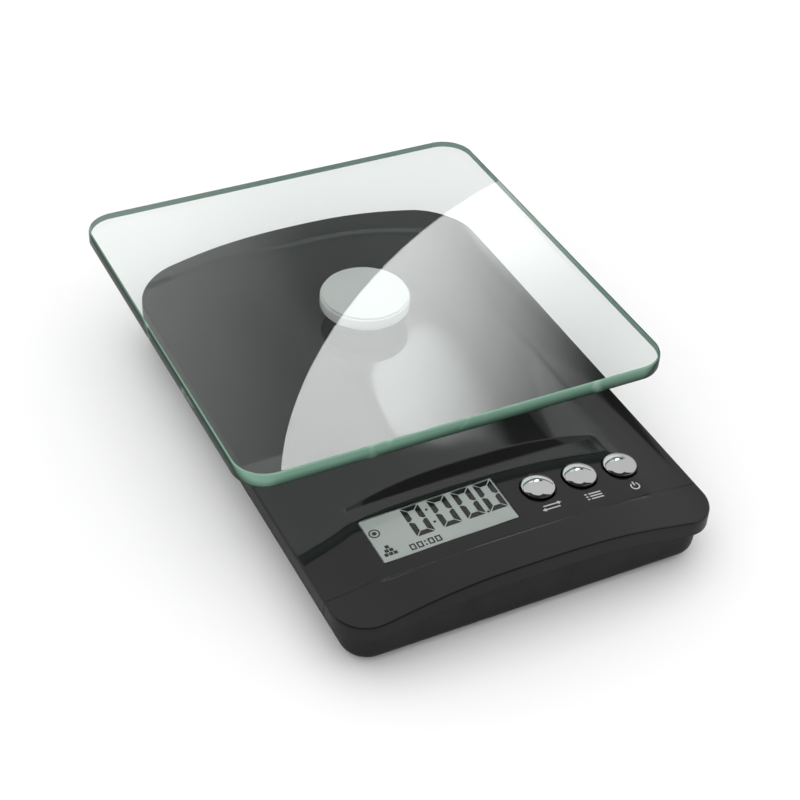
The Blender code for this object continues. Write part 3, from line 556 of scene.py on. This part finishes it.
def outline(inset, steps=ARC_STEPS, edge_steps=40, side_steps=16):
    half = HALF_WIDTH - inset
    front, rear = FRONT_Y + inset, REAR_Y - inset
    near, far = max(FRONT_CORNER - inset, 1.5), max(REAR_CORNER - inset, 1.5)
    corners = ((half - near, front + near, near, -90.0), (half - far, rear - far, far, 0.0),
               (far - half, rear - far, far, 90.0), (near - half, front + near, near, 180.0))
    counts = (side_steps, edge_steps, side_steps, edge_steps)
    points = []
    for index, (x, y, radius, start) in enumerate(corners):
        for step in range(steps + 1):
            turn = math.radians(start + 90.0 * step / steps)
            points.append(Vector((x + radius * math.cos(turn), y + radius * math.sin(turn))))
        following = corners[(index + 1) % 4]
        turn = math.radians(following[3])
        target = Vector((following[0] + following[2] * math.cos(turn),
                         following[1] + following[2] * math.sin(turn)))
        origin = points[-1].copy()
        for step in range(1, counts[index]):
            points.append(origin.lerp(target, step / counts[index]))
    return [(point.x, point.y - rear_bow(point.x, point.y)) for point in points]


def build_case(look):
    def rim(x, y):
        return EDGE_Z + crown_height(x, y) - SHELL - CASE_RIM_DROP

    def ring(inset, height):
        return [(x, y, height(x, y) if callable(height) else height) for x, y in outline(inset)]

    foot = CASE_INSET + CASE_TAPER
    rings = [ring(foot + CASE_ROUND, CASE_Z)]
    for turn in spread(0.0, math.pi / 2, 8)[1:]:
        rings.append(ring(foot + CASE_ROUND * (1 - math.sin(turn)),
                          CASE_Z + CASE_ROUND * (1 - math.cos(turn))))
    rings += [ring(CASE_INSET, CASE_BEND_Z), ring(CASE_INSET, rim), ring(CASE_INSET + CASE_WALL, rim),
              ring(CASE_INSET + CASE_WALL, CASE_BEND_Z), ring(foot + CASE_ROUND + 1.0, CASE_FLOOR_TOP)]
    case = loft("bottom_case_shell", rings, look, 30.0)
    # The door's recess stops under the top of the floor, so the floor still closes the battery pocket.
    tools = [slab("door_cut", DOOR_WIDE / 2 + RECESS_GAP, DOOR_DEEP / 2 + RECESS_GAP, 1.0, (0.0, DOOR_Y),
                  CUT_BELOW, RECESS_TOP, 0.01, None, 4)]
    for index, (x, y) in enumerate(CASE_SCREWS + CELL_SCREWS):
        tools.append(turned(f"sink_cut_{index}", [(0, 0), (SINK_RADIUS, 0), (SINK_RADIUS, 8), (0, 8)],
                            (x, y, CUT_BELOW), None, 40))
    wide = FOOT_RADIUS + FOOT_GAP
    for index, (x, y) in enumerate(FEET):
        tools.append(turned(f"foot_cut_{index}", [(0, 0), (wide, 0), (wide, 7), (0, 7)], (x, y, CUT_BELOW),
                            None, 48))
    tools.append(slab("plate_cut", 24.0, 11.0, 2.0, (0.0, 40.0), CUT_BELOW, CASE_Z + PLATE_SINK, 0.01,
                      None, 6))
    cut(case, tools)
    return shade(case, 30.0)


def build_pocket(look):
    """The battery pocket's walls and roof over the door, inside the case."""
    rings = []
    for grow, height in ((0.0, POCKET_ROOF - POCKET_WALL), (0.0, POCKET_LOW), (POCKET_WALL, POCKET_LOW),
                         (POCKET_WALL, POCKET_ROOF)):
        ring = rounded_square(POCKET_X + grow, POCKET_Y + grow, POCKET_CORNER, (0.0, DOOR_Y), 4)
        rings.append([(x, y, height) for x, y in ring])
    return loft("battery_pocket", rings, look)


# ---------------------------------------------------------------- pieces

def build_platter(looks):
    glass = slab("glass_plate", GLASS_HALF, GLASS_HALF, GLASS_CORNER, (0.0, GLASS_Y), GLASS_LOW, GLASS_TOP,
                 GLASS_ARRIS, looks["clear_glass"], 24, 25.0)
    glass.data.materials.append(ground_edge_material())
    for face in glass.data.polygons:
        face.material_index = int(abs(face.normal.z) < 0.99)
    disc = turned("hub_boss", [(0, 0), (HUB_RADIUS - 0.5, 0), (HUB_RADIUS - 0.15, 0.15), (HUB_RADIUS, 0.5),
                               (HUB_RADIUS, 3.4), (HUB_RADIUS - 0.1, 3.75), (HUB_RADIUS - 0.4, 3.95),
                               (0, 3.95)],
                  (0.0, GLASS_Y, HUB_LOW), looks["white_hub"], 96, 40.0)
    film = turned("bond_disc", [(0, 0), (HUB_RADIUS - 0.6, 0), (HUB_RADIUS - 0.6, 0.55), (0, 0.55)],
                  (0.0, GLASS_Y, HUB_LOW + 4.05), looks["clear_bond"], 96)
    stem = turned("hub_post", [(0, 0), (STEM_RADIUS, 0), (STEM_RADIUS, 8.2), (STEM_RADIUS + 0.4, 9.6),
                               (STEM_RADIUS + 1.6, 10.7), (0, 10.7)],
                  (0.0, GLASS_Y, STEM_LOW), looks["white_hub"], 64, 40.0)
    for piece, node, slot in ((glass, "glass_platter", "clear_glass"), (disc, "hub_disc", "white_hub"),
                              (film, "platter_bond_pad", "clear_bond"), (stem, "hub_stem", "white_hub")):
        settle(piece, "platter", slot, node)


def settle(piece, body, slot, *nodes):
    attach(piece, body)
    if nodes:
        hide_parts(*nodes)


def build_keys(looks):
    for name, x in KEY_X.items():
        surface_z = deck_z(x, KEY_Y)
        profile = [(0, KEY_PROUD)]
        for share in spread(0.0, 1.0, 16)[1:]:
            turn = share * KEY_DOME_TURN
            profile.append((KEY_DOME_RADIUS * math.sin(turn) / math.sin(KEY_DOME_TURN),
                            KEY_PROUD - KEY_DOME_TALL * (1 - math.cos(turn)) / (1 - math.cos(KEY_DOME_TURN))))
        shoulder = KEY_RADIUS - KEY_DOME_RADIUS
        profile += [(KEY_DOME_RADIUS + shoulder * math.sin(turn),
                     KEY_PROUD - KEY_DOME_TALL - shoulder * (1 - math.cos(turn)) * 1.4)
                    for turn in spread(math.radians(55), math.pi / 2, 6)]
        foot = KEY_STEM_LOW - surface_z
        profile += [(KEY_RADIUS, -3.5), (KEY_FLANGE, -3.5), (KEY_FLANGE, -4.5), (KEY_STEM, -4.5),
                    (KEY_STEM, foot), (0, foot)]
        cap = turned(f"key_dome_{name}", profile, (x, KEY_Y, surface_z), looks["chromed_plastic"], 72, 40.0)
        settle(cap, f"key_{name}", "chromed_plastic", f"button_cap_{name}")


def on_display(data, drop):
    """Moves a bmesh drawn flat about the display's middle into its leaning place, this far under the deck."""
    level = deck_z(LCD_X, LCD_Y) - drop
    place = Matrix.Translation((LCD_X, LCD_Y, level)) @ LCD_LEAN.to_matrix().to_4x4()
    bmesh.ops.transform(data, matrix=place, verts=data.verts)


def bar(data, points, thick):
    """A flat raised outline, such as one segment of a digit."""
    low = [data.verts.new((x, y, 0.0)) for x, y in points]
    high = [data.verts.new((x, y, thick)) for x, y in points]
    data.faces.new(list(reversed(low)))
    data.faces.new(high)
    for index in range(len(points)):
        after = (index + 1) % len(points)
        data.faces.new((low[index], low[after], high[after], high[index]))


def segment_shapes(wide, tall, thick, gap):
    """The seven segments of a digit with its lower left corner at the origin, without the middle one."""
    half = tall / 2
    cut_in = thick * 0.95
    top = [(gap, tall), (wide - gap, tall), (wide - gap - cut_in, tall - thick), (gap + cut_in, tall - thick)]
    bottom = [(gap, 0), (gap + cut_in, thick), (wide - gap - cut_in, thick), (wide - gap, 0)]
    left_high = [(0, tall - gap), (thick, tall - gap - cut_in), (thick, half + gap + thick * 0.4),
                 (thick * 0.45, half + gap * 0.6), (0, half + gap)]
    left_low = [(0, gap), (0, half - gap), (thick * 0.45, half - gap * 0.6),
                (thick, half - gap - thick * 0.4), (thick, gap + cut_in)]
    mirror = [[(wide - x, y) for x, y in shape] for shape in (left_high, left_low)]
    return [top, bottom, left_high, left_low, *mirror]


def ring_points(radius, centre, steps=24):
    return [(centre[0] + radius * math.cos(2 * math.pi * step / steps),
             centre[1] + radius * math.sin(2 * math.pi * step / steps)) for step in range(steps)]


def band(data, outer, inner, thick):
    """A flat raised ring between two outlines with the same count of points."""
    count = len(outer)
    rows = [[data.verts.new((x, y, height)) for x, y in shape]
            for shape, height in ((outer, 0.0), (outer, thick), (inner, thick), (inner, 0.0))]
    for lower, upper in zip(rows, rows[1:] + rows[:1]):
        for index in range(count):
            after = (index + 1) % count
            data.faces.new((lower[index], lower[after], upper[after], upper[index]))


def display_block(name, half_x, half_y, thick, drop, look):
    """A plate with rounded corners whose top lies this far under the deck."""
    data = bmesh.new()
    rings = []
    for height, inset in ((-thick, 0.0), (-0.1, 0.0), (0.0, 0.1)):
        ring = rounded_square(half_x - inset, half_y - inset, 0.6, (0, 0), 6)
        rings.append([(x, y, height) for x, y in ring])
    skin(data, rings)
    on_display(data, drop)
    plate = to_object(name, data, look)
    plate.data.shade_flat()
    return plate


def build_display(looks):
    panel_drop = LENS_DROP + LENS_THICK + LENS_GAP
    half_x, half_y = LCD_WIDE / 2 - 0.3, LCD_DEEP / 2 - 0.3
    panel = display_block("display_glass", half_x, half_y, PANEL_THICK, panel_drop, looks["display_panel"])
    settle(panel, "housing", "display_panel", "lcd_panel")
    lens = display_block("display_cover_lens", half_x, half_y, LENS_THICK, LENS_DROP, looks["display_lens"])
    settle(lens, "housing", "display_lens", "lcd_window")

    data = bmesh.new()
    for start in DIGIT_STARTS:
        for shape in segment_shapes(DIGIT_WIDE, DIGIT_TALL, DIGIT_STROKE, DIGIT_GAP):
            bar(data, [(start + x, DIGIT_LOW + y) for x, y in shape], INK_THICK)
    for x, y in ((-1.4, 0.0), (-1.4, 5.6), (15.4, -3.1)):
        bar(data, [(x + dx, y + dy) for dx, dy in ((-DOT, -DOT), (DOT, -DOT), (DOT, DOT), (-DOT, DOT))],
            INK_THICK)
    band(data, ring_points(1.8, (-20.2, 3.1)), ring_points(1.35, (-20.2, 3.1)), INK_THICK)
    bar(data, ring_points(0.75, (-20.2, 3.1), 16), INK_THICK)
    for row in range(3):
        for column in range(3 - row):
            x, y = -21.3 + column * 1.5 + row * 0.75, -7.0 + row * 1.5
            bar(data, [(x, y), (x + 1.25, y), (x + 1.25, y + 1.25), (x, y + 1.25)], INK_THICK)
    for x in (-13.0, -10.6, -6.9, -4.5):
        band(data, [(x + dx, y) for dx, y in ((0, -7.9), (1.9, -7.9), (1.9, -5.4), (0, -5.4))],
             [(x + dx, y) for dx, y in ((0.5, -7.4), (1.4, -7.4), (1.4, -5.9), (0.5, -5.9))], INK_THICK)
    for y in (-7.4, -6.0):
        bar(data, [(x, y + dy) for x, dy in ((-8.1, -0.3), (-7.5, -0.3), (-7.5, 0.3), (-8.1, 0.3))],
            INK_THICK)
    on_display(data, panel_drop - 0.005)
    ink = surface("segment_black", (0.008, 0.009, 0.009), (0.012, 0.013, 0.012), 0.5, 0.6, 90.0, 0.0,
                  Specular_IOR_Level=0.1)
    digits = to_object("display_segments", data, ink)
    settle(digits, "housing", "display_panel")


def build_marks():
    """Plain key symbols in place of the lettering under the keys, laid on the deck."""
    paint = surface("pale_print", (0.46, 0.46, 0.46), (0.40, 0.40, 0.40), 0.35, 0.45, 150.0, 0.0)
    data = bmesh.new()

    def drop(shape_maker):
        first = len(data.verts)
        shape_maker()
        data.verts.ensure_lookup_table()
        for vert in data.verts[first:]:
            vert.co.z += deck_z(vert.co.x, vert.co.y) + 0.01

    def strip(x0, x1, y0, y1):
        drop(lambda: bar(data, [(x0, y0), (x1, y0), (x1, y1), (x0, y1)], PRINT_THICK))

    for side in (-1, 1):
        x, y = 14.2, -79.0 + 0.75 * side
        strip(x - 2.6, x + 2.6, y - 0.22, y + 0.22)
        head = [(x + side * 2.4, y - 0.75), (x + side * 3.7, y), (x + side * 2.4, y + 0.75)][::side]
        drop(lambda: bar(data, head, PRINT_THICK))
    for index in range(3):
        y = -78.4 - index * 1.1
        strip(26.2, 27.0, y - 0.25, y + 0.25)
        strip(27.6, 32.0, y - 0.25, y + 0.25)
    centre = (44.0, -79.9)
    outer, inner = [], []
    for turn in spread(math.radians(125), math.radians(415), 24):
        outer.append((centre[0] + 1.6 * math.cos(turn), centre[1] + 1.6 * math.sin(turn)))
        inner.append((centre[0] + 1.15 * math.cos(turn), centre[1] + 1.15 * math.sin(turn)))
    for first in range(24):
        drop(lambda: bar(data, [outer[first], outer[first + 1], inner[first + 1], inner[first]], PRINT_THICK))
    strip(centre[0] - 0.24, centre[0] + 0.24, centre[1] + 0.2, centre[1] + 2.0)
    marks = to_object("key_symbols", data, paint)
    settle(marks, "housing", "display_panel")


def build_door(look):
    data = bmesh.new()
    rings = []
    for height, inset in ((DOOR_TOP, 0.2), (DOOR_TOP - 0.2, 0.0), (DOOR_LOW + 0.3, 0.0), (DOOR_LOW, 0.3)):
        ring = rounded_square(DOOR_WIDE / 2 - inset, DOOR_DEEP / 2 - inset, 0.9, (0.0, DOOR_Y), 6)
        rings.append([(x, y, height) for x, y in ring])
    skin(data, rings)
    door = to_object("battery_hatch", data, look)
    tools = []
    for index in range(5):
        y = DOOR_Y - 7.5 - index * 0.9
        tools.append(slab(f"grip_cut_{index}", 7.0 - index * 0.9, 0.22, 0.2, (0.0, y), -1.0, DOOR_LOW + 0.3,
                          0.01, None, 4))
    cut(door, tools)
    shade(door, 30.0)
    catch = slab("battery_hatch_catch", 6.0, 0.6, 0.4, (0.0, DOOR_Y - 10.8), 2.2, 5.2, 0.2, look, 4)
    settle(door, "battery_door", "black_case", "battery_door")
    settle(catch, "battery_door", "black_case")


def build_feet(look):
    for index, (x, y) in enumerate(FEET):
        profile = [(0, 0.0), (4.4, 0.0), (4.5, 0.15), (5.0, 0.15), (5.1, 0.0), (5.5, 0.0), (5.85, 0.15),
                   (FOOT_RADIUS, 0.5), (FOOT_RADIUS, FOOT_TALL), (0, FOOT_TALL)]
        foot = turned(f"rubber_foot_{index + 1}", profile, (x, y, 0.0), look, 64, 30.0)
        settle(foot, "housing", "black_rubber", f"foot_{index + 1}")


def build_spring(name, end, look):
    """A tapered wound battery spring in the place of its plain turned stand-in."""
    low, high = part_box(name)
    middle = (low + high) / 2
    wide, narrow = 3.1, 1.7
    start = high.x if end > 0 else low.x
    reach = (low.x - high.x) if end > 0 else (high.x - low.x)
    curve = bpy.data.curves.new(name + "_coil", "CURVE")
    curve.dimensions = "3D"
    curve.bevel_depth = 0.2 * MM
    curve.bevel_resolution = 2
    curve.use_fill_caps = True
    spline = curve.splines.new("POLY")
    steps = 72
    spline.points.add(steps)
    for index, point in enumerate(spline.points):
        share = index / steps
        turn = share * 2 * math.pi * 3.5
        radius = (wide + (narrow - wide) * share) * MM
        x = start + reach * (0.1 + 0.8 * share)
        point.co = (x, middle.y + radius * math.cos(turn), middle.z + radius * math.sin(turn), 1.0)
    coil = bpy.data.objects.new(name + "_coil", curve)
    bpy.context.scene.collection.objects.link(coil)
    curve.materials.append(look)
    settle(coil, "housing", "nickel", name)


def dress_nodes(looks):
    """Every CAD node that stays gets the finished material of its own slot."""
    slots = {entry["node"]: entry["material_slot"] for entry in frame["record"]["subparts"]}
    for name, node in frame["nodes"].items():
        look = looks[slots[name]]
        if not node.material_slots:
            node.data.materials.append(look)
        for place in node.material_slots:
            place.material = look


# ---------------------------------------------------------------- stage

def emission(name, strength):
    made = bpy.data.materials.new(name)
    made.use_nodes = True
    nodes, links = made.node_tree.nodes, made.node_tree.links
    nodes.remove(nodes["Principled BSDF"])
    glow = nodes.new("ShaderNodeEmission")
    glow.inputs["Color"].default_value = (1.0, 1.0, 1.0, 1.0)
    glow.inputs["Strength"].default_value = strength
    links.new(glow.outputs["Emission"], nodes["Material Output"].inputs["Surface"])
    return made, nodes, links, glow


def stage_mesh(name, points, faces, look):
    mesh = bpy.data.meshes.new(name)
    mesh.from_pydata(points, [], faces)
    mesh.materials.append(look)
    obj = bpy.data.objects.new(name, mesh)
    bpy.context.scene.collection.objects.link(obj)
    return obj


def reflected_only(nodes, links):
    """A socket that is 1 for reflected rays, and 0 for camera rays and those that come through glass."""
    path = nodes.new("ShaderNodeLightPath")
    only = nodes.new("ShaderNodeMath")
    only.operation = "SUBTRACT"
    only.use_clamp = True
    links.new(path.outputs["Is Glossy Ray"], only.inputs[0])
    links.new(path.outputs["Is Transmission Ray"], only.inputs[1])
    return only.outputs["Value"]


def build_floor():
    look, nodes, links, shader = new_material("studio_floor", (FLOOR_GREY,) * 3, 0.8)
    shade_of = nodes.new("ShaderNodeMix")
    shade_of.data_type = "RGBA"
    shade_of.inputs[6].default_value = (*(FLOOR_GREY,) * 3, 1.0)
    shade_of.inputs[7].default_value = (*(FLOOR_REFLECTED,) * 3, 1.0)
    links.new(reflected_only(nodes, links), shade_of.inputs[0])
    links.new(shade_of.outputs[2], shader.inputs["Base Color"])
    below = nodes.new("ShaderNodeNewGeometry")
    clear = nodes.new("ShaderNodeBsdfTransparent")
    sides = nodes.new("ShaderNodeMixShader")
    links.new(below.outputs["Backfacing"], sides.inputs["Fac"])
    links.new(shader.outputs["BSDF"], sides.inputs[1])
    links.new(clear.outputs["BSDF"], sides.inputs[2])
    links.new(sides.outputs["Shader"], nodes["Material Output"].inputs["Surface"])
    corners = [(x * FLOOR_HALF, y * FLOOR_HALF, 0) for x, y in ((-1, -1), (1, -1), (1, 1), (-1, 1))]
    stage_mesh("floor", corners, [(0, 1, 2, 3)], look)


def graded_emission(name, start, end, first, last):
    """A glow that changes smoothly along the card's own X, in metres, from one strength to another."""
    look, nodes, links, glow = emission(name, first)
    place = nodes.new("ShaderNodeTexCoord")
    parts = nodes.new("ShaderNodeSeparateXYZ")
    fade = nodes.new("ShaderNodeMapRange")
    fade.interpolation_type = "SMOOTHSTEP"
    for socket, value in (("From Min", start), ("From Max", end), ("To Min", first), ("To Max", last)):
        fade.inputs[socket].default_value = value
    links.new(place.outputs["Object"], parts.inputs["Vector"])
    links.new(parts.outputs["X"], fade.inputs["Value"])
    links.new(fade.outputs["Result"], glow.inputs["Strength"])
    return look


def reflection_only(card, through_glass=True):
    card.visible_camera = False
    card.visible_diffuse = False
    card.visible_shadow = False
    card.visible_transmission = through_glass


def build_softbox():
    """A round softbox behind the scale, which shows as the pale curved reflection in the platter, before a
    darker graded backdrop."""
    centre = Vector(SOFTBOX_PLACE)
    points = []
    for step in range(96):
        turn = 2 * math.pi * step / 96
        points.append((SOFTBOX_RADIUS * math.cos(turn), 0.0,
                       min(SOFTBOX_RADIUS * math.sin(turn), SOFTBOX_TOP - centre.z)))
    card = stage_mesh("softbox", points, [tuple(range(96))],
                      graded_emission("softbox_glow", -0.55, 0.20, 4.6, 0.05))
    card.location = centre
    reflection_only(card)
    (left, right), (low, high) = BACKDROP_X, BACKDROP_Z
    points = [(x, BACKDROP_Y, z) for x, z in ((left, low), (right, low), (right, high), (left, high))]
    backdrop = stage_mesh("graded_backdrop", points, [(0, 1, 2, 3)],
                          graded_emission("backdrop_glow", 0.72, 1.16, 0.85, 0.24))
    reflection_only(backdrop)


def build_flag():
    """A dark screen on the camera's side, seen only in reflections."""
    look = emission("dark_screen", FLAG_GLOW)[0]
    points, faces = [], []
    across, up = 24, 12
    for row in range(up + 1):
        height = math.radians(FLAG_LOW + (FLAG_HIGH - FLAG_LOW) * row / up)
        for column in range(across + 1):
            turn = VIEW_AZIMUTH + math.radians(-FLAG_ASIDE + 2 * FLAG_ASIDE * column / across)
            reach = FLAG_RADIUS * math.cos(height)
            points.append((reach * math.sin(turn), -reach * math.cos(turn), FLAG_RADIUS * math.sin(height)))
    for row in range(up):
        for column in range(across):
            first = row * (across + 1) + column
            faces.append((first, first + 1, first + across + 2, first + across + 1))
    screen = stage_mesh("dark_screen", points, faces, look)
    reflection_only(screen, False)


def build_lights():
    world = bpy.data.worlds.new("studio")
    bpy.context.scene.world = world
    world.use_nodes = True
    nodes, links = world.node_tree.nodes, world.node_tree.links
    level = nodes.new("ShaderNodeMapRange")
    level.inputs["To Min"].default_value = WORLD_LEVEL
    level.inputs["To Max"].default_value = WORLD_REFLECTED
    links.new(reflected_only(nodes, links), level.inputs["Value"])
    links.new(level.outputs["Result"], nodes["Background"].inputs["Strength"])
    nodes["Background"].inputs["Color"].default_value = (1.0, 1.0, 1.0, 1.0)
    for name, place, size, power in LAMPS:
        light = bpy.data.lights.new(name, "AREA")
        light.size = size
        light.energy = power
        obj = bpy.data.objects.new(name, light)
        obj.location = place
        obj.rotation_euler = (Vector((0, 0, 0)) - Vector(place)).to_track_quat("-Z", "Y").to_euler()
        obj.visible_glossy = False
        bpy.context.scene.collection.objects.link(obj)


def build_camera():
    level = math.cos(VIEW_ELEVATION)
    back = Vector((math.sin(VIEW_AZIMUTH) * level, -math.cos(VIEW_AZIMUTH) * level, math.sin(VIEW_ELEVATION)))
    right = Vector((0, 0, 1)).cross(back).normalized()
    up = back.cross(right)
    turned_right = math.cos(VIEW_ROLL) * right + math.sin(VIEW_ROLL) * up
    turned_up = -math.sin(VIEW_ROLL) * right + math.cos(VIEW_ROLL) * up
    data = bpy.data.cameras.new("camera")
    data.sensor_fit = "HORIZONTAL"
    data.angle = VIEW_ANGLE
    data.clip_start = 0.01
    camera = bpy.data.objects.new("camera", data)
    place = Vector(VIEW_PLACE) + Vector((0.0, GLASS_Y, GLASS_TOP))
    matrix = Matrix((turned_right, turned_up, back)).transposed().to_4x4()
    matrix.translation = place * MM
    camera.matrix_world = matrix
    bpy.context.scene.collection.objects.link(camera)
    bpy.context.scene.camera = camera


# ---------------------------------------------------------------- everything

build_camera()
build_floor()
build_softbox()
build_flag()
build_lights()
bpy.context.scene.view_settings.view_transform = "Standard"

looks = make_looks()
dress_nodes(looks)
settle(build_cover(looks["black_cover"]), "housing", "black_cover", "top_cover")
settle(build_case(looks["black_case"]), "housing", "black_case", "bottom_case")
settle(build_pocket(looks["black_inner"]), "housing", "black_case")
build_platter(looks)
build_keys(looks)
build_display(looks)
build_marks()
build_door(looks["black_case"])
build_feet(looks["black_rubber"])
build_spring("battery_spring_1", -1, looks["nickel"])
build_spring("battery_spring_2", 1, looks["nickel"])
